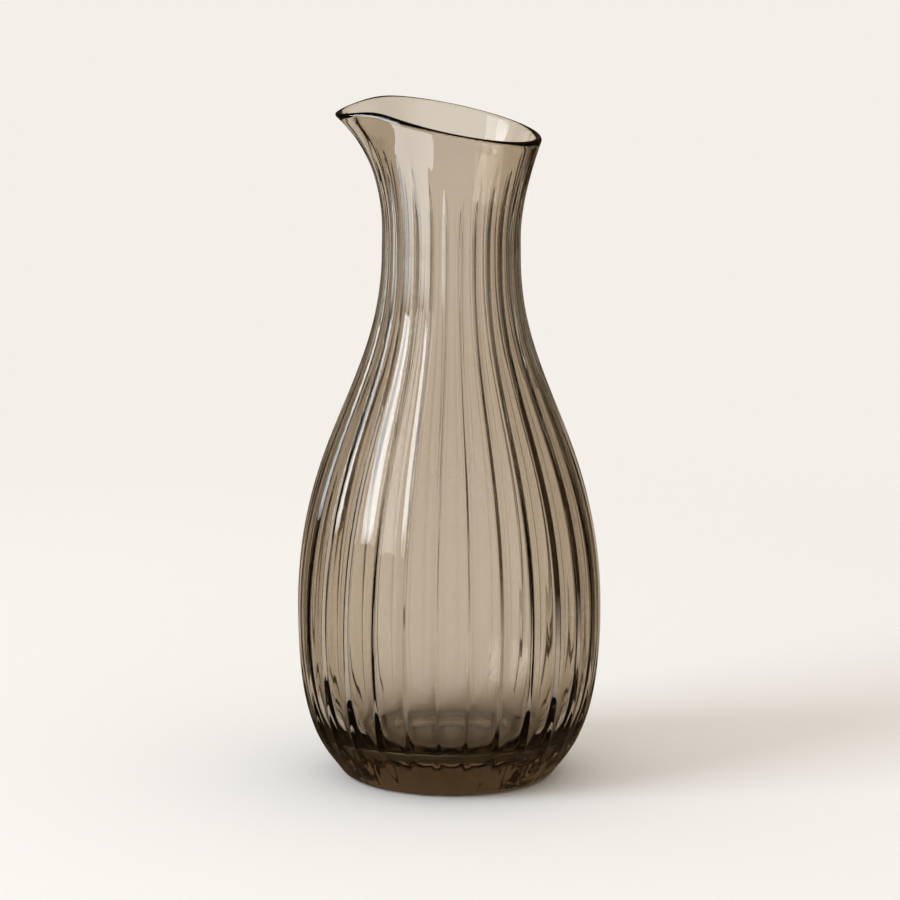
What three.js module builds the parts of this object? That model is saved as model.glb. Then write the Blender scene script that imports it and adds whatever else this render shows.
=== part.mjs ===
// A carafe of smoke-brown glass, blown in one piece: a round belly over a thick base, a waisted
// neck, and a slanted rim drawn out into a small spout. Upright flutes hollow the outside.
// Millimetres, +Z up. The origin is the middle of the foot on the table, and the spout points
// along -X.

import * as THREE from 'three';
import { mergeVertices } from 'three/addons/utils/BufferGeometryUtils.js';

// Foot and heel
const footRadius = 36.4; // outer edge of the flat ring that the carafe stands on
const standingRing = 6.4; // width of that ring
const puntHeight = 2.5; // hollow under the middle of the base
const footFillet = 5.6; // round between the ring and the heel
const heelSlopeDegrees = 56; // climb of the wall where that round ends
const heelPull = 8.3; // how far the wall keeps that climb

// Belly, the widest ring of the body
const bellyRadius = 57.6;
const bellyHeight = 64; // above the table
const bellyPullDown = 47; // how far the wall stays upright below the belly
const bellyPullUp = 66.7; // and above it

// Neck, the narrowest ring
const neckRadius = 26.2;
const neckRise = 137; // above the belly
const neckPullDown = 51.5; // how far the wall stays upright below the neck
const neckPullUp = 6.4; // and above it

// Lip, on the low side of the rim, opposite the spout
const lipRadius = 33.5;
const lipRise = 42.6; // above the neck
const lipLeanDegrees = 18.6; // lean of the wall at the lip, from upright
const lipPull = 27.2; // how far the wall keeps that lean

// Rim and spout
const rimSlope = 0.195; // climb of the rim towards the spout
const rimBulge = 1; // how much wider the rim is across the spout than on the low side
const spoutReach = 9.8; // how far the spout is drawn out past the round rim
const spoutDroop = 5.7; // how far drawing it out bends the lip down
const spoutSpreadDegrees = 22; // angle from the tip at which most of the spout has died away
const spoutThickening = 1.5; // how much thicker the glass is at the tip of the spout

// Glass thickness
const wall = 2.6; // at the deepest part of a flute, and at the rim
const floorHeight = 13; // top of the thick base, inside
const floorInset = 22; // from the outside to the edge of the flat floor, at that height
const floorPull = 12; // how far the floor runs on level into the corner
const bowlPull = 44; // how far the inner wall stays upright below the belly

// Flutes
const fluteCount = 28;
const fluteDepth = 1.4; // at the belly, below the ridges between the flutes
const ridgeSharpness = 4; // power of the hollow's curve: 2 is a plain scoop, more is flatter
const innerShare = 0.5; // how much of a flute's depth shows on the inner wall, at the belly
const firstRidgeDegrees = -4.7; // turn of one ridge from the -Y side
const fluteTipHeight = 1.5; // above the table, where a flute starts in a point
const fluteTipLength = 16; // over which it opens to its full width
const fluteTopGap = 2; // below the lip, where a flute has died away
const fluteTopLength = 40; // over which it grows shallower

// Facets
const stepsPerFlute = 4;
const puntSteps = 3;
const footSteps = 2;
const heelSteps = 5;
const shoulderSteps = 8;
const lipSteps = 6;
const rimSteps = 3;
const innerLipSteps = 4;
const innerShoulderSteps = 6;
const bowlSteps = 5;

const neckHeight = bellyHeight + neckRise;
const lipHeight = neckHeight + lipRise;
const puntRadius = footRadius - standingRing;
const heelSlope = THREE.MathUtils.degToRad(heelSlopeDegrees);
const lipLean = THREE.MathUtils.degToRad(lipLeanDegrees);
const spoutSpread = THREE.MathUtils.degToRad(spoutSpreadDegrees);
const firstRidge = THREE.MathUtils.degToRad(firstRidgeDegrees);

function at(radius, height) {
  return new THREE.Vector2(radius, height);
}

// The outside, from the foot up, as half a section: radius across, height up
function outsideCurves() {
  const level = -Math.PI / 2;
  const footRound = new THREE.EllipseCurve(
    footRadius, footFillet, footFillet, footFillet, level, level + heelSlope);
  const heelStart = footRound.getPoint(1);
  const heelHandle = at(heelPull * Math.cos(heelSlope), heelPull * Math.sin(heelSlope));
  const heelWall = new THREE.CubicBezierCurve(
    heelStart, heelHandle.add(heelStart),
    at(bellyRadius, bellyHeight - bellyPullDown), at(bellyRadius, bellyHeight));
  const shoulderWall = new THREE.CubicBezierCurve(
    at(bellyRadius, bellyHeight), at(bellyRadius, bellyHeight + bellyPullUp),
    at(neckRadius, neckHeight - neckPullDown), at(neckRadius, neckHeight));
  const lipHandle = at(lipRadius - lipPull * Math.sin(lipLean), lipHeight - lipPull * Math.cos(lipLean));
  const lipWall = new THREE.CubicBezierCurve(
    at(neckRadius, neckHeight), at(neckRadius, neckHeight + neckPullUp),
    lipHandle, at(lipRadius, lipHeight));
  return { footRound, heelWall, shoulderWall, lipWall };
}

// How open a flute is at a height: 0 at its point, 1 over the body
function fluteOpening(height) {
  return THREE.MathUtils.clamp((height - fluteTipHeight) / fluteTipLength, 0, 1);
}

// Depth of the hollow at a place: across is 0 in the middle of a flute and 1 on its ridge
function fluteCut(radius, height, across) {
  const opening = fluteOpening(height);
  if (Math.abs(across) >= opening) {
    return 0;
  }
  const belowTop = lipHeight - fluteTopGap - height;
  const fade = THREE.MathUtils.smoothstep(belowTop, 0, fluteTopLength);
  const deepest = fade * opening * fluteDepth * radius / bellyRadius;
  return deepest * (1 - Math.abs(across / opening) ** ridgeSharpness);
}

// How much of a flute's depth shows on the inner wall. It dies away from the belly up to the neck
// and down to the floor.
function innerFlutes(height) {
  const belowNeck = (neckHeight - height) / neckRise;
  const aboveFloor = (height - floorHeight) / (bellyHeight - floorHeight);
  return innerShare * THREE.MathUtils.smoothstep(Math.min(belowNeck, aboveFloor), 0, 1);
}

// The inside of a stretch of wall, from its top down, behind the ridges
function insidePoints(curve, steps) {
  const points = [];
  for (let step = steps; step >= 0; step -= 1) {
    const outside = curve.getPoint(step / steps);
    const along = curve.getTangent(step / steps);
    const thickness = wall + (1 - innerFlutes(outside.y)) * fluteCut(outside.x, outside.y, 0);
    points.push(at(outside.x - along.y * thickness, outside.y + along.x * thickness));
  }
  return points;
}

// The round edge of the rim, from the outside over to the inside
function rimPoints(lipWall) {
  const across = lipWall.getTangent(1);
  const middle = at(lipRadius - across.y * wall / 2, lipHeight + across.x * wall / 2);
  const outward = Math.atan2(-across.x, across.y);
  const round = new THREE.EllipseCurve(
    middle.x, middle.y, wall / 2, wall / 2, outward, outward + Math.PI);
  return round.getPoints(rimSteps).slice(1, -1);
}

// The inside of the belly, down to the flat floor
function bowlPoints(heelWall) {
  const innerBelly = bellyRadius - wall - (1 - innerShare) * fluteCut(bellyRadius, bellyHeight, 0);
  const heelPoints = heelWall.getPoints(heelSteps * bowlSteps);
  const floorOutside = heelPoints.find((point) => point.y >= floorHeight);
  const floorRadius = floorOutside.x - floorInset;
  const bowl = new THREE.CubicBezierCurve(
    at(innerBelly, bellyHeight), at(innerBelly, bellyHeight - bowlPull),
    at(floorRadius + floorPull, floorHeight), at(floorRadius, floorHeight));
  return bowl.getPoints(bowlSteps);
}

// The whole half section, from the axis under the base round to the axis on the floor. Each
// row of points has the share of the flutes' depth that it shows, and how far it lies inside
// the wall: 0 outside, 1 inside.
function section() {
  const { footRound, heelWall, shoulderWall, lipWall } = outsideCurves();
  const punt = new THREE.CubicBezierCurve(
    at(0, puntHeight), at(puntRadius / 2, puntHeight), at(puntRadius / 2, 0), at(puntRadius, 0));
  const outside = [
    ...footRound.getPoints(footSteps),
    ...heelWall.getPoints(heelSteps).slice(1),
    ...shoulderWall.getPoints(shoulderSteps).slice(1),
    ...lipWall.getPoints(lipSteps).slice(1),
  ];
  const rim = rimPoints(lipWall);
  const inside = [
    ...insidePoints(lipWall, innerLipSteps),
    ...insidePoints(shoulderWall, innerShoulderSteps).slice(1),
    ...bowlPoints(heelWall).slice(1),
    at(0, floorHeight),
  ];
  return [
    ...punt.getPoints(puntSteps).map((point) => ({ point, fluteShare: 0, inner: 0 })),
    ...outside.map((point) => ({ point, fluteShare: 1, inner: 0 })),
    ...rim.map((point, i) => ({ point, fluteShare: 0, inner: (i + 1) / rimSteps })),
    ...inside.map((point) => ({ point, fluteShare: innerFlutes(point.y), inner: 1 })),
  ];
}

// Tilts the rim and draws the spout out of it. The shift grows from the neck up to the lip.
function drawRim(radius, height, angle, inner) {
  const share = Math.max(0, (height - neckHeight) / lipRise);
  const fromSpout = Math.PI - Math.abs(Math.atan2(Math.sin(angle), Math.cos(angle)));
  const drawn = Math.exp(-((fromSpout / spoutSpread) ** 2));
  const bulge = rimBulge * Math.sin(angle) ** 2;
  const roundRim = lipRadius - wall / 2;
  const rimReach = roundRim + bulge + spoutReach * drawn;
  const climb = rimSlope * (roundRim - rimReach * Math.cos(angle));
  const reach = spoutReach - inner * spoutThickening;
  return at(
    radius + share ** 2 * bulge + share ** 3 * reach * drawn,
    height + share * climb - share ** 3 * spoutDroop * drawn);
}

// Merges the seam and the points on the axis, and drops the triangles that this closes to nothing
function closeSeams(geometry) {
  geometry.deleteAttribute('normal');
  geometry.deleteAttribute('uv');
  const merged = mergeVertices(geometry);
  const corners = merged.index.array;
  const kept = [];
  for (let i = 0; i < corners.length; i += 3) {
    const [a, b, c] = corners.slice(i, i + 3);
    if (a !== b && b !== c && c !== a) {
      kept.push(a, b, c);
    }
  }
  merged.setIndex(kept);
  merged.computeVertexNormals();
  return merged;
}

function carafeGlass() {
  const rows = section();
  const segments = fluteCount * stepsPerFlute;
  const geometry = new THREE.LatheGeometry(rows.map((row) => row.point), segments, firstRidge);
  const position = geometry.attributes.position;
  for (let i = 0; i < position.count; i += 1) {
    const { point, fluteShare, inner } = rows[i % rows.length];
    const step = Math.floor(i / rows.length);
    const angle = firstRidge + (step / segments) * 2 * Math.PI - Math.PI / 2;
    const across = 1 - 2 * (step % stepsPerFlute) / stepsPerFlute;
    const cut = fluteShare * fluteCut(point.x, point.y, across);
    const place = drawRim(point.x - cut, point.y, angle, inner);
    position.setXYZ(i, place.x * Math.cos(angle), place.x * Math.sin(angle), place.y);
  }
  const material = new THREE.MeshStandardMaterial({
    color: 0x8c7a62, roughness: 0.03, metalness: 0, transparent: true, opacity: 0.6,
  });
  const mesh = new THREE.Mesh(closeSeams(geometry), material);
  mesh.name = 'carafe_glass';
  return mesh;
}

const carafe = new THREE.Group();
carafe.add(carafeGlass());

export default carafe;
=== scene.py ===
"""The fluted glass carafe, dressed for rendering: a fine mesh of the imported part's one solid in
smoke-brown glass, on a pale floor beside a tall window. Dark cards and strip lights stand round
it and show only in the glass.

Sizes of the carafe are in millimetres, as in the part's source, and those of the stage in metres.
"""

import math

import bpy
import numpy as np
from mathutils import Matrix, Vector


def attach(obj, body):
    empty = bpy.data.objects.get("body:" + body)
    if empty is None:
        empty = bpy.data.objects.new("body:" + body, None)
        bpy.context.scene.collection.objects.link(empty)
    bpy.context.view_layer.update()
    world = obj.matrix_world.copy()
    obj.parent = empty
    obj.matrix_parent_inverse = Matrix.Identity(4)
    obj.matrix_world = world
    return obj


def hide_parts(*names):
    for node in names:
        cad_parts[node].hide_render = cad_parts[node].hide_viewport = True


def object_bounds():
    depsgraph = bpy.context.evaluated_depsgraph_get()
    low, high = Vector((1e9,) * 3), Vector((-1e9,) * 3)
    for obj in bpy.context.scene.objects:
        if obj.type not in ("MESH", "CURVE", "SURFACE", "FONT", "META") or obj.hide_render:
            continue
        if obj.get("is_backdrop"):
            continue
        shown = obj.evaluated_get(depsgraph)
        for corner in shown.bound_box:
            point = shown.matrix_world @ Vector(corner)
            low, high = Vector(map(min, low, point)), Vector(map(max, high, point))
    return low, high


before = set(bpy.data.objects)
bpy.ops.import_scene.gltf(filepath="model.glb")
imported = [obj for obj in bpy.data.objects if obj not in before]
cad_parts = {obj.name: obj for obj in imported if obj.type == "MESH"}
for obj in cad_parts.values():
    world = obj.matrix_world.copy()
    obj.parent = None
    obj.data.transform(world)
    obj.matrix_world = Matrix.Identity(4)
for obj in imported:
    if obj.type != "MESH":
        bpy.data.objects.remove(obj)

cad_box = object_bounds()

# Foot and heel
foot_radius = 36.4
standing_ring = 6.4
punt_height = 2.5
foot_fillet = 5.6
heel_slope = math.radians(56)
heel_pull = 8.3

# Belly, neck and lip
belly_radius = 57.6
belly_height = 64
belly_pull_down = 47
belly_pull_up = 66.7
neck_radius = 26.2
neck_rise = 137
neck_height = belly_height + neck_rise
neck_pull_down = 51.5
neck_pull_up = 6.4
lip_radius = 33.5
lip_rise = 42.6
lip_height = neck_height + lip_rise
lip_lean = math.radians(18.6)
lip_pull = 27.2

# Rim and spout
rim_slope = 0.195
rim_bulge = 1
spout_reach = 9.8
spout_droop = 5.7
spout_spread = math.radians(22)
spout_thickening = 1.5

# Glass thickness
wall = 2.6
floor_height = 13
floor_radius = 26
floor_pull = 12
bowl_pull = 44

# Flutes
flute_count = 28
flute_depth = 1.4
ridge_sharpness = 4
inner_share = 0.5
first_ridge = math.radians(-4.7)
flute_tip_height = 1.5
flute_tip_length = 16
flute_top_gap = 2
flute_top_length = 40
least_opening = 0.01  # share of a flute's width below which it counts as closed
curve_end = 2  # where a flute's curve is cut off past its edge, in half widths
ridge_round = 0.03  # as a share of a flute's width
tip_round = 0.06  # softens the edge of a flute's pointed end, as a share of its depth

# Mesh
metre = 1000  # in the carafe's millimetres
steps_per_flute = 12
punt_steps = 14
ring_steps = 4
fillet_steps = 8
heel_steps = 40
shoulder_steps = 64
lip_steps = 40
rim_steps = 12
bowl_steps = 36
floor_steps = 8

# Glass
glass_ior = 1.51
face_colour = (0.817, 0.763, 0.691)  # what one wall lets through, seen square on
glancing_colour_and_shade = (0.71, 0.635, 0.53)  # and at a glancing angle, deeper: partly the longer path through the wall, partly painted shade that darkens the silhouettes and the flutes' ridges
edge_start = 0.04  # how glancing the angle is where the darker glancing colour sets in
edge_full = 0.3  # and where it is full
smoke_tint = (0.575, 0.5, 0.4)  # colour that the glass deepens towards where it is thick
smoke_density = 62  # per metre
wave_size = 0.014  # width of the faint waves in the surface
wave_height = 0.00001
wave_detail = 1
polish = (0.0, 0.006)  # roughness of the glass, from place to place
worn_roughness = 0.35  # of the ring that it stands on
worn_height = 0.0006  # how far up the wear reaches

# Floor and background
pale = (0.905, 0.863, 0.815)  # linear colour of the background
floor_colour = (0.93, 0.925, 0.90)
floor_roughness = 0.9
floor_gloss = 0.1
floor_fade = (0.36, 0.62)  # distances over which the floor melts into the background
floor_sides = 96
floor_drop = 0.0002  # below the foot, so that the two faces don't meet

# Window and room
window_turn = math.radians(-62)  # from the camera's side towards the left
window_distance = 3.0
window_bottom = 0.36
window_top = 3.2
window_width = 1.8
window_radiance = 5.35
window_colour = (0.9, 1, 1.12)
room_low = 0.1  # brightness of the room at the horizon
room_high = 1.15  # and overhead
room_colour = (1, 0.93, 0.86)
room_reflection = (0.08, 0.052, 0.028)  # what the glass mirrors of the room

# Dark cards round the carafe
flag_distance = 0.2
card_steps = 12
near_flag_spans = ((21, 52), (-21, -29))  # degrees from straight behind
near_flag_heights = (0, 0.05, 0.13, 0.17)  # where a flag sets in, is full, thins out and ends
near_flag_colour = (0.045, 0.024, 0.006)
neck_flag_spans = ((19, 52), (-19, -29))
neck_flag_heights = (0.13, 0.17, 0.3, 0.34)
far_flag_spans = ((57, 120), (-60, -75))
far_flag_heights = (0, 0.05, 0.3, 0.34)
far_flag_colour = (0.034, 0.018, 0.005)

# Strip lights, one for the highlights in the body and one for those in the neck
strip_colour = (0.9, 0.955, 1)
body_strip_span = (-68, -90)  # degrees from the camera's side
body_strip_edges = ((0.42, 0.125), (0.42, 0.55))  # distance and height, below and above
body_strip_radiance = 9.5
body_strip_glow = ((0, 0.35), (0.07, 1), (0.41, 1), (0.73, 0.2))  # at shares of its height
neck_strip_span = (-30, -84)
neck_strip_edges = ((0.08, 0.155), (0.22, 0.195))
neck_strip_radiance = 5
neck_strip_glow = ((0, 1), (0.55, 1), (1, 0))

# Camera
camera_rise = math.radians(12.3)
camera_distance = 2.8
camera_aim = 0.12495  # height that it looks at
pixels_per_metre = 2649  # at that distance
frame_pixels = 900
sensor_width = 36
camera_roll = math.radians(0.37)
camera_sight = 50  # how far it sees


def bezier(start, first_handle, second_handle, end, steps):
    """Points of a cubic curve and its unit tangents, as rows of (radius, height)."""
    a, b, c, d = (np.array(point, float) for point in (start, first_handle, second_handle, end))
    t = np.linspace(0, 1, steps + 1)[:, None]
    points = (1 - t) ** 3 * a + 3 * t * (1 - t) ** 2 * b + 3 * t * t * (1 - t) * c + t ** 3 * d
    along = (1 - t) ** 2 * (b - a) + 2 * t * (1 - t) * (c - b) + t * t * (d - c)
    return points, along / np.linalg.norm(along, axis=1)[:, None]


def smooth(share):
    """A smooth climb from 0 to 1 as the share goes from 0 to 1."""
    share = np.clip(share, 0, 1)
    return share ** 2 * (3 - 2 * share)


def flute_cut(radius, height, across):
    """Depth of the hollow: across is 0 in the middle of a flute and 1 on its ridge. A flute
    starts in a point at the heel and grows shallower towards the lip."""
    opening = np.clip((height - flute_tip_height) / flute_tip_length, 0, 1)
    reach = np.minimum(np.abs(across) / np.maximum(opening, least_opening), curve_end)
    hollow = 1 - reach ** ridge_sharpness
    hollow = (hollow + np.sqrt(hollow ** 2 + tip_round ** 2)) / 2
    fade = smooth((lip_height - flute_top_gap - height) / flute_top_length)
    return fade * opening * flute_depth * radius / belly_radius * hollow


def inner_flutes(height):
    """Share of the flutes' depth that shows on the inner wall. It dies away from the belly up to
    the neck and down to the floor."""
    below_neck = (neck_height - height) / neck_rise
    above_floor = (height - floor_height) / (belly_height - floor_height)
    return inner_share * smooth(np.minimum(below_neck, above_floor))


def inside_of(points, along):
    """The inner wall behind the ridges, from the top of a stretch of outer wall down."""
    radius, height = points.T
    thickness = wall + (1 - inner_flutes(height)) * flute_cut(radius, height, 0)
    inward = np.stack([-along[:, 1], along[:, 0]], axis=1)
    return (points + inward * thickness[:, None])[::-1]


def section():
    """The half section from the axis under the base round to the axis on the inner floor. Each
    row of points has the share of the flutes' depth that it shows, and how far it lies inside
    the wall, from 0 outside to 1 inside."""
    punt_radius = foot_radius - standing_ring
    punt, _ = bezier(
        (0, punt_height), (punt_radius / 2, punt_height),
        (punt_radius / 2, 0), (punt_radius, 0), punt_steps)
    ring_radius = np.linspace(punt_radius, foot_radius, ring_steps + 1)
    ring = np.stack([ring_radius, np.zeros_like(ring_radius)], axis=1)

    turn = np.linspace(0, heel_slope, fillet_steps + 1)
    fillet_radius = foot_radius + foot_fillet * np.sin(turn)
    fillet = np.stack([fillet_radius, foot_fillet * (1 - np.cos(turn))], axis=1)
    climb = heel_pull * np.array([math.cos(heel_slope), math.sin(heel_slope)])
    heel, _ = bezier(
        fillet[-1], fillet[-1] + climb,
        (belly_radius, belly_height - belly_pull_down), (belly_radius, belly_height), heel_steps)
    shoulder, shoulder_along = bezier(
        (belly_radius, belly_height), (belly_radius, belly_height + belly_pull_up),
        (neck_radius, neck_height - neck_pull_down), (neck_radius, neck_height), shoulder_steps)
    lean = lip_pull * np.array([math.sin(lip_lean), math.cos(lip_lean)])
    lip_end = np.array([lip_radius, lip_height])
    lip, lip_along = bezier(
        (neck_radius, neck_height), (neck_radius, neck_height + neck_pull_up),
        lip_end - lean, lip_end, lip_steps)

    inward = np.array([-lip_along[-1][1], lip_along[-1][0]])
    over = np.linspace(0, math.pi, rim_steps + 1)[1:-1, None]
    rim = lip_end + wall / 2 * (inward * (1 - np.cos(over)) + lip_along[-1] * np.sin(over))

    inner_shoulder = inside_of(shoulder, shoulder_along)
    inner_belly = inner_shoulder[-1][0]
    bowl, _ = bezier(
        (inner_belly, belly_height), (inner_belly, belly_height - bowl_pull),
        (floor_radius + floor_pull, floor_height), (floor_radius, floor_height), bowl_steps)
    inner_radius = np.linspace(floor_radius, 0, floor_steps + 1)
    floor = np.stack([inner_radius, np.full_like(inner_radius, floor_height)], axis=1)

    under = np.vstack([punt, ring[1:-1]])
    outside = np.vstack([fillet, heel[1:], shoulder[1:], lip[1:]])
    inside = np.vstack([inside_of(lip, lip_along), inner_shoulder[1:], bowl[1:]])
    rows = np.vstack([under, outside, rim, inside, floor[1:]])
    shares = np.concatenate([
        np.zeros(len(under)), np.ones(len(outside)), np.zeros(len(rim)),
        inner_flutes(inside[:, 1]), np.zeros(len(floor) - 1)])
    inner = np.concatenate([
        np.zeros(len(under) + len(outside)), (1 - np.cos(over[:, 0])) / 2,
        np.ones(len(inside) + len(floor) - 1)])
    return rows, shares, inner


def draw_rim(radius, height, angle, inner):
    """Tilts the rim and draws the spout out of it, more and more from the neck up to the lip."""
    share = np.maximum(0, (height - neck_height) / lip_rise)
    from_spout = math.pi - np.abs(np.arctan2(np.sin(angle), np.cos(angle)))
    drawn = np.exp(-(from_spout / spout_spread) ** 2)
    bulge = rim_bulge * np.sin(angle) ** 2
    round_rim = lip_radius - wall / 2
    rim_reach = round_rim + bulge + spout_reach * drawn
    climb = rim_slope * (round_rim - rim_reach * np.cos(angle))
    reach = spout_reach - inner * spout_thickening
    new_radius = radius + share ** 2 * bulge + share ** 3 * reach * drawn
    return new_radius, height + share * climb - share ** 3 * spout_droop * drawn


def carafe_mesh():
    """The closed glass wall. Its columns crowd together towards the ridges."""
    rows, shares, inner = section()
    step = np.arange(steps_per_flute) / steps_per_flute
    place = (1 - np.cos(math.pi * step)) / 2
    place = np.concatenate([flute + place for flute in range(flute_count)])
    angle = first_ridge - math.pi / 2 + place * 2 * math.pi / flute_count
    from_ridge = np.abs(place - np.round(place))
    from_ridge = np.sqrt(from_ridge ** 2 + ridge_round ** 2) - ridge_round
    half_flute = math.hypot(1 / 2, ridge_round) - ridge_round
    across = 1 - from_ridge / half_flute

    radius = np.repeat(rows[:, :1], len(angle), axis=1)
    height = np.repeat(rows[:, 1:], len(angle), axis=1)
    radius = radius - shares[:, None] * flute_cut(radius, height, across)
    radius, height = draw_rim(radius, height, angle, inner[:, None])
    grid = np.stack([radius * np.cos(angle), radius * np.sin(angle), height], axis=2) / metre

    count = len(angle)
    rings = grid[1:-1]
    points = rings.reshape(-1, 3).tolist()
    under_middle = len(points)
    floor_middle = under_middle + 1
    points += [[0, 0, punt_height / metre], [0, 0, floor_height / metre]]
    index = np.arange(under_middle).reshape(len(rings), count)
    beside = np.roll(index, -1, axis=1)
    faces = np.stack([index[:-1], beside[:-1], beside[1:], index[1:]], axis=2)
    faces = faces.reshape(-1, 4).tolist()
    faces += [[under_middle, b, a] for a, b in zip(index[0].tolist(), beside[0].tolist())]
    faces += [[floor_middle, a, b] for a, b in zip(index[-1].tolist(), beside[-1].tolist())]

    mesh = bpy.data.meshes.new("carafe")
    mesh.from_pydata(points, [], faces)
    mesh.shade_smooth()
    return mesh


def glass_material():
    """Smoke-brown glass, tinted at its surfaces and through its thickness, with the faint waves of
    blown glass and a worn foot. Its surface tint deepens at glancing angles, partly for the longer
    path through the wall and partly as painted shade along its silhouettes and ridges."""
    material = bpy.data.materials.new("smoke_glass")
    material.use_nodes = True
    nodes = material.node_tree.nodes
    link = material.node_tree.links.new
    glass = nodes["Principled BSDF"]
    glass.inputs["Transmission Weight"].default_value = 1
    glass.inputs["IOR"].default_value = glass_ior
    # painted shade: the tint darkens at glancing angles, partly for the longer path through the
    # wall and partly to darken the silhouettes and ridges
    angle = nodes.new("ShaderNodeLayerWeight")
    edge = nodes.new("ShaderNodeMapRange")
    edge.interpolation_type = "SMOOTHSTEP"
    edge.inputs["From Min"].default_value = edge_start
    edge.inputs["From Max"].default_value = edge_full
    colour = nodes.new("ShaderNodeMix")
    colour.data_type = "RGBA"
    colour.inputs["A"].default_value = (*face_colour, 1)
    colour.inputs["B"].default_value = (*glancing_colour_and_shade, 1)
    link(angle.outputs["Facing"], edge.inputs["Value"])
    link(edge.outputs["Result"], colour.inputs["Factor"])
    link(colour.outputs["Result"], glass.inputs["Base Color"])

    place = nodes.new("ShaderNodeTexCoord")
    waves = nodes.new("ShaderNodeTexNoise")
    waves.inputs["Scale"].default_value = 1 / wave_size
    waves.inputs["Detail"].default_value = wave_detail
    bump = nodes.new("ShaderNodeBump")
    bump.inputs["Distance"].default_value = wave_height
    split = nodes.new("ShaderNodeSeparateXYZ")
    wear = nodes.new("ShaderNodeMapRange")
    wear.inputs["From Max"].default_value = worn_height
    wear.inputs["To Min"].default_value = worn_roughness
    wear.inputs["To Max"].default_value = 0
    gloss = nodes.new("ShaderNodeMapRange")
    gloss.inputs["To Min"].default_value = polish[0]
    gloss.inputs["To Max"].default_value = polish[1]
    rough = nodes.new("ShaderNodeMath")
    link(place.outputs["Object"], waves.inputs["Vector"])
    link(waves.outputs["Fac"], bump.inputs["Height"])
    link(bump.outputs["Normal"], glass.inputs["Normal"])
    link(place.outputs["Object"], split.inputs["Vector"])
    link(split.outputs["Z"], wear.inputs["Value"])
    link(waves.outputs["Fac"], gloss.inputs["Value"])
    link(wear.outputs["Result"], rough.inputs[0])
    link(gloss.outputs["Result"], rough.inputs[1])
    link(rough.outputs["Value"], glass.inputs["Roughness"])

    tint = nodes.new("ShaderNodeVolumeAbsorption")
    tint.inputs["Color"].default_value = (*smoke_tint, 1)
    tint.inputs["Density"].default_value = smoke_density
    link(tint.outputs["Volume"], nodes["Material Output"].inputs["Volume"])
    return material


def floor_material():
    """Matt pale floor that melts into the background away from the carafe."""
    material = bpy.data.materials.new("floor")
    material.use_nodes = True
    nodes = material.node_tree.nodes
    link = material.node_tree.links.new
    matt = nodes["Principled BSDF"]
    matt.inputs["Base Color"].default_value = (*floor_colour, 1)
    matt.inputs["Roughness"].default_value = floor_roughness
    matt.inputs["Specular IOR Level"].default_value = floor_gloss
    place = nodes.new("ShaderNodeTexCoord")
    distance = nodes.new("ShaderNodeVectorMath")
    distance.operation = "LENGTH"
    fade = nodes.new("ShaderNodeMapRange")
    fade.interpolation_type = "SMOOTHSTEP"
    fade.inputs["From Min"].default_value = floor_fade[0]
    fade.inputs["From Max"].default_value = floor_fade[1]
    fade.inputs["To Min"].default_value = 1
    fade.inputs["To Max"].default_value = 0
    link(place.outputs["Object"], distance.inputs[0])
    link(distance.outputs["Value"], fade.inputs["Value"])
    link(fade.outputs["Result"], matt.inputs["Alpha"])
    return material


def build_floor():
    """A round floor. The glass doesn't mirror it."""
    bpy.ops.mesh.primitive_circle_add(
        vertices=floor_sides, radius=floor_fade[1], fill_type="NGON", location=(0, 0, -floor_drop))
    floor = bpy.context.object
    floor.name = "floor"
    floor.data.materials.append(floor_material())
    floor.visible_glossy = False
    floor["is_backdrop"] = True


def height_ramp(material, height, stops):
    """A grey ramp up an object of that height, from its stops of (share of the height, level)."""
    nodes = material.node_tree.nodes
    link = material.node_tree.links.new
    place = nodes.new("ShaderNodeTexCoord")
    split = nodes.new("ShaderNodeSeparateXYZ")
    share = nodes.new("ShaderNodeMath")
    share.operation = "DIVIDE"
    share.inputs[1].default_value = height
    ramp = nodes.new("ShaderNodeValToRGB")
    for position, _ in stops[1:-1]:
        ramp.color_ramp.elements.new(position)
    for element, (position, level) in zip(ramp.color_ramp.elements, stops):
        element.position = position
        element.color = (level, level, level, 1)
    link(place.outputs["Object"], split.inputs["Vector"])
    link(split.outputs["Z"], share.inputs[0])
    link(share.outputs["Value"], ramp.inputs["Fac"])
    return ramp


def curved_card(name, span, edges, material):
    """A card round the carafe that shows only in the glass. It runs between two angles from
    straight behind, and from a lower edge to an upper one, each a distance and a height."""
    bottom = edges[0][1]
    points = []
    for turn in np.radians(np.linspace(*span, card_steps + 1)):
        for distance, height in edges:
            points.append((distance * math.sin(turn), distance * math.cos(turn), height - bottom))
    faces = [(i, i + 2, i + 3, i + 1) for i in range(0, len(points) - 2, 2)]
    mesh = bpy.data.meshes.new(name)
    mesh.from_pydata(points, [], faces)
    mesh.materials.append(material)
    card = bpy.data.objects.new(name, mesh)
    bpy.context.collection.objects.link(card)
    card.location.z = bottom
    card.visible_camera = False
    card.visible_diffuse = False
    card.visible_shadow = False
    card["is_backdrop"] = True
    return card


def build_flags(name, spans, colour, heights):
    """Dark upright cards, which deepen the dark lines in the glass."""
    material = bpy.data.materials.new(name)
    material.use_nodes = True
    matt = material.node_tree.nodes["Principled BSDF"]
    matt.inputs["Base Color"].default_value = (*colour, 1)
    matt.inputs["Specular IOR Level"].default_value = 0
    bottom, full, thinning, top = heights
    tall = top - bottom
    solid_from = (full - bottom) / tall
    solid_to = (thinning - bottom) / tall
    ramp = height_ramp(material, tall, ((0, 0), (solid_from, 1), (solid_to, 1), (1, 0)))
    material.node_tree.links.new(ramp.outputs["Color"], matt.inputs["Alpha"])
    edges = ((flag_distance, bottom), (flag_distance, top))
    for number, span in enumerate(spans, 1):
        curved_card(f"{name}_{number}", span, edges, material)


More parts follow.
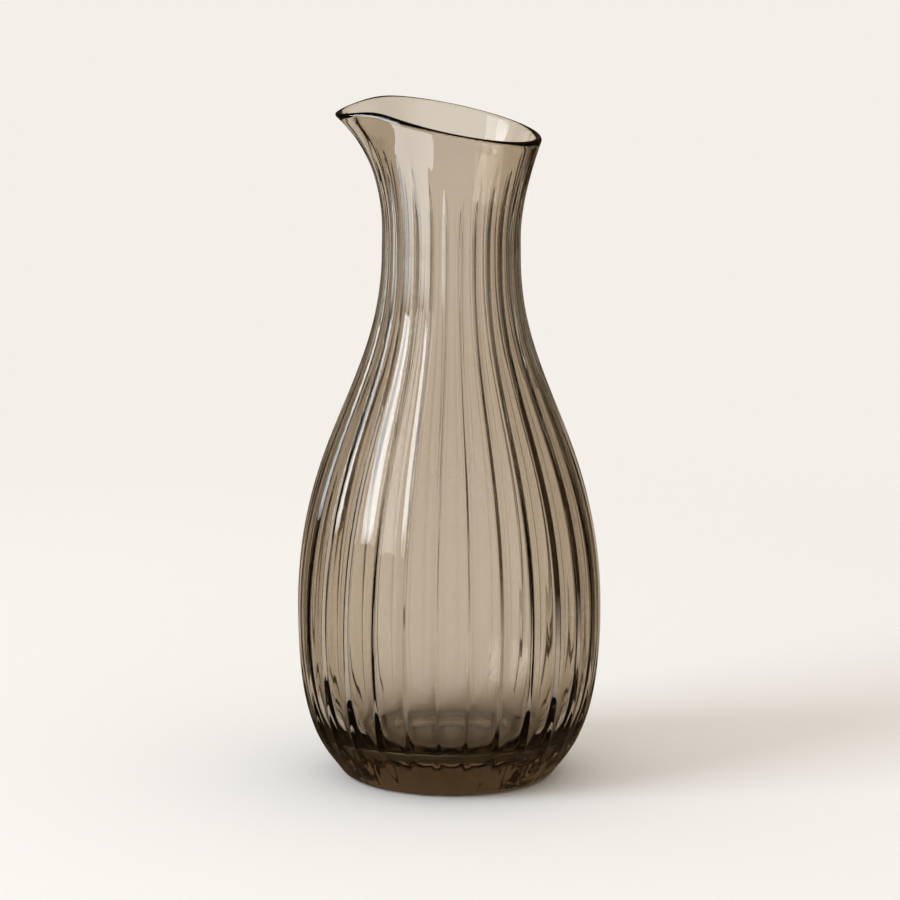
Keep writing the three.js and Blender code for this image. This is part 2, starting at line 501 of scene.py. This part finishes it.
def build_strip(name, span, edges, radiance, glow):
    """A strip light that shows only as highlights on the glass. It shines from the side that
    faces the carafe, and its back can be seen through."""
    material = bpy.data.materials.new(name)
    material.use_nodes = True
    nodes = material.node_tree.nodes
    nodes.remove(nodes["Principled BSDF"])
    link = material.node_tree.links.new
    light = nodes.new("ShaderNodeEmission")
    light.inputs["Color"].default_value = (*strip_colour, 1)
    level = nodes.new("ShaderNodeMath")
    level.operation = "MULTIPLY"
    level.inputs[1].default_value = radiance
    ramp = height_ramp(material, edges[1][1] - edges[0][1], glow)
    side = nodes.new("ShaderNodeNewGeometry")
    clear = nodes.new("ShaderNodeBsdfTransparent")
    either = nodes.new("ShaderNodeMixShader")
    link(ramp.outputs["Color"], level.inputs[0])
    link(level.outputs["Value"], light.inputs["Strength"])
    link(side.outputs["Backfacing"], either.inputs["Fac"])
    link(light.outputs["Emission"], either.inputs[1])
    link(clear.outputs["BSDF"], either.inputs[2])
    link(either.outputs["Shader"], nodes["Material Output"].inputs["Surface"])
    from_behind = [180 - turn for turn in span]
    strip = curved_card(name, from_behind, edges, material)
    strip.visible_transmission = False


def build_window():
    """A tall window on the left, as a soft light."""
    light = bpy.data.lights.new("window", "AREA")
    light.shape = "RECTANGLE"
    light.size = window_width
    light.size_y = window_top - window_bottom
    light.energy = window_radiance * math.pi * light.size * light.size_y
    light.color = window_colour
    window = bpy.data.objects.new("window", light)
    bpy.context.collection.objects.link(window)
    middle = (window_bottom + window_top) / 2
    window.location = (
        window_distance * math.sin(window_turn), -window_distance * math.cos(window_turn), middle)
    facing = Vector((0, 0, middle)) - window.location
    window.rotation_euler = facing.to_track_quat("-Z", "Y").to_euler()
    window.visible_camera = False
    window.visible_glossy = False


def build_room():
    """A dim room that is lighter overhead. The camera, and what shows through the glass, see
    the pale background in its place."""
    world = bpy.data.worlds.new("room")
    bpy.context.scene.world = world
    world.use_nodes = True
    nodes = world.node_tree.nodes
    link = world.node_tree.links.new
    room = nodes["Background"]
    room.inputs["Color"].default_value = (*room_colour, 1)
    direction = nodes.new("ShaderNodeTexCoord")
    split = nodes.new("ShaderNodeSeparateXYZ")
    level = nodes.new("ShaderNodeMapRange")
    level.inputs["To Min"].default_value = room_low
    level.inputs["To Max"].default_value = room_high
    link(direction.outputs["Generated"], split.inputs["Vector"])
    link(split.outputs["Z"], level.inputs["Value"])
    link(level.outputs["Result"], room.inputs["Strength"])

    mirrored = nodes.new("ShaderNodeBackground")
    mirrored.inputs["Color"].default_value = (*room_reflection, 1)
    background = nodes.new("ShaderNodeBackground")
    background.inputs["Color"].default_value = (*pale, 1)
    ray = nodes.new("ShaderNodeLightPath")
    seen = nodes.new("ShaderNodeMath")
    seen.operation = "MAXIMUM"
    link(ray.outputs["Is Camera Ray"], seen.inputs[0])
    link(ray.outputs["Is Transmission Ray"], seen.inputs[1])
    in_mirror = nodes.new("ShaderNodeMixShader")
    link(ray.outputs["Is Glossy Ray"], in_mirror.inputs["Fac"])
    link(room.outputs["Background"], in_mirror.inputs[1])
    link(mirrored.outputs["Background"], in_mirror.inputs[2])
    in_view = nodes.new("ShaderNodeMixShader")
    link(seen.outputs["Value"], in_view.inputs["Fac"])
    link(in_mirror.outputs["Shader"], in_view.inputs[1])
    link(background.outputs["Background"], in_view.inputs[2])
    link(in_view.outputs["Shader"], nodes["World Output"].inputs["Surface"])


def build_camera():
    """The photo's camera: in front, a little above, and far off."""
    lens = bpy.data.cameras.new("camera")
    lens.sensor_width = sensor_width
    lens.lens = sensor_width * pixels_per_metre * camera_distance / frame_pixels
    lens.clip_end = camera_sight
    camera = bpy.data.objects.new("camera", lens)
    bpy.context.collection.objects.link(camera)
    away = camera_distance * math.cos(camera_rise)
    camera.location = (0, -away, camera_aim + camera_distance * math.sin(camera_rise))
    tilt = Matrix.Rotation(math.pi / 2 - camera_rise, 3, "X")
    camera.rotation_euler = (tilt @ Matrix.Rotation(camera_roll, 3, "Z")).to_euler()
    bpy.context.scene.camera = camera


def build_carafe():
    """The carafe in its fine mesh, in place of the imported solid."""
    carafe = bpy.data.objects.new("carafe", carafe_mesh())
    carafe.data.materials.append(glass_material())
    bpy.context.collection.objects.link(carafe)
    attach(carafe, "root")
    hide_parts("carafe_glass")


build_camera()
build_carafe()
build_floor()
build_flags("near_flag", near_flag_spans, near_flag_colour, near_flag_heights)
build_flags("neck_flag", neck_flag_spans, near_flag_colour, neck_flag_heights)
build_flags("far_flag", far_flag_spans, far_flag_colour, far_flag_heights)
build_strip("body_strip", body_strip_span, body_strip_edges, body_strip_radiance, body_strip_glow)
build_strip("neck_strip", neck_strip_span, neck_strip_edges, neck_strip_radiance, neck_strip_glow)
build_window()
build_room()
bpy.context.scene.view_settings.view_transform = "Standard"

boxes = {"cad": cad_box, "visual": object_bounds()}
boxes = {name: [list(corner) for corner in box] for name, box in boxes.items()}
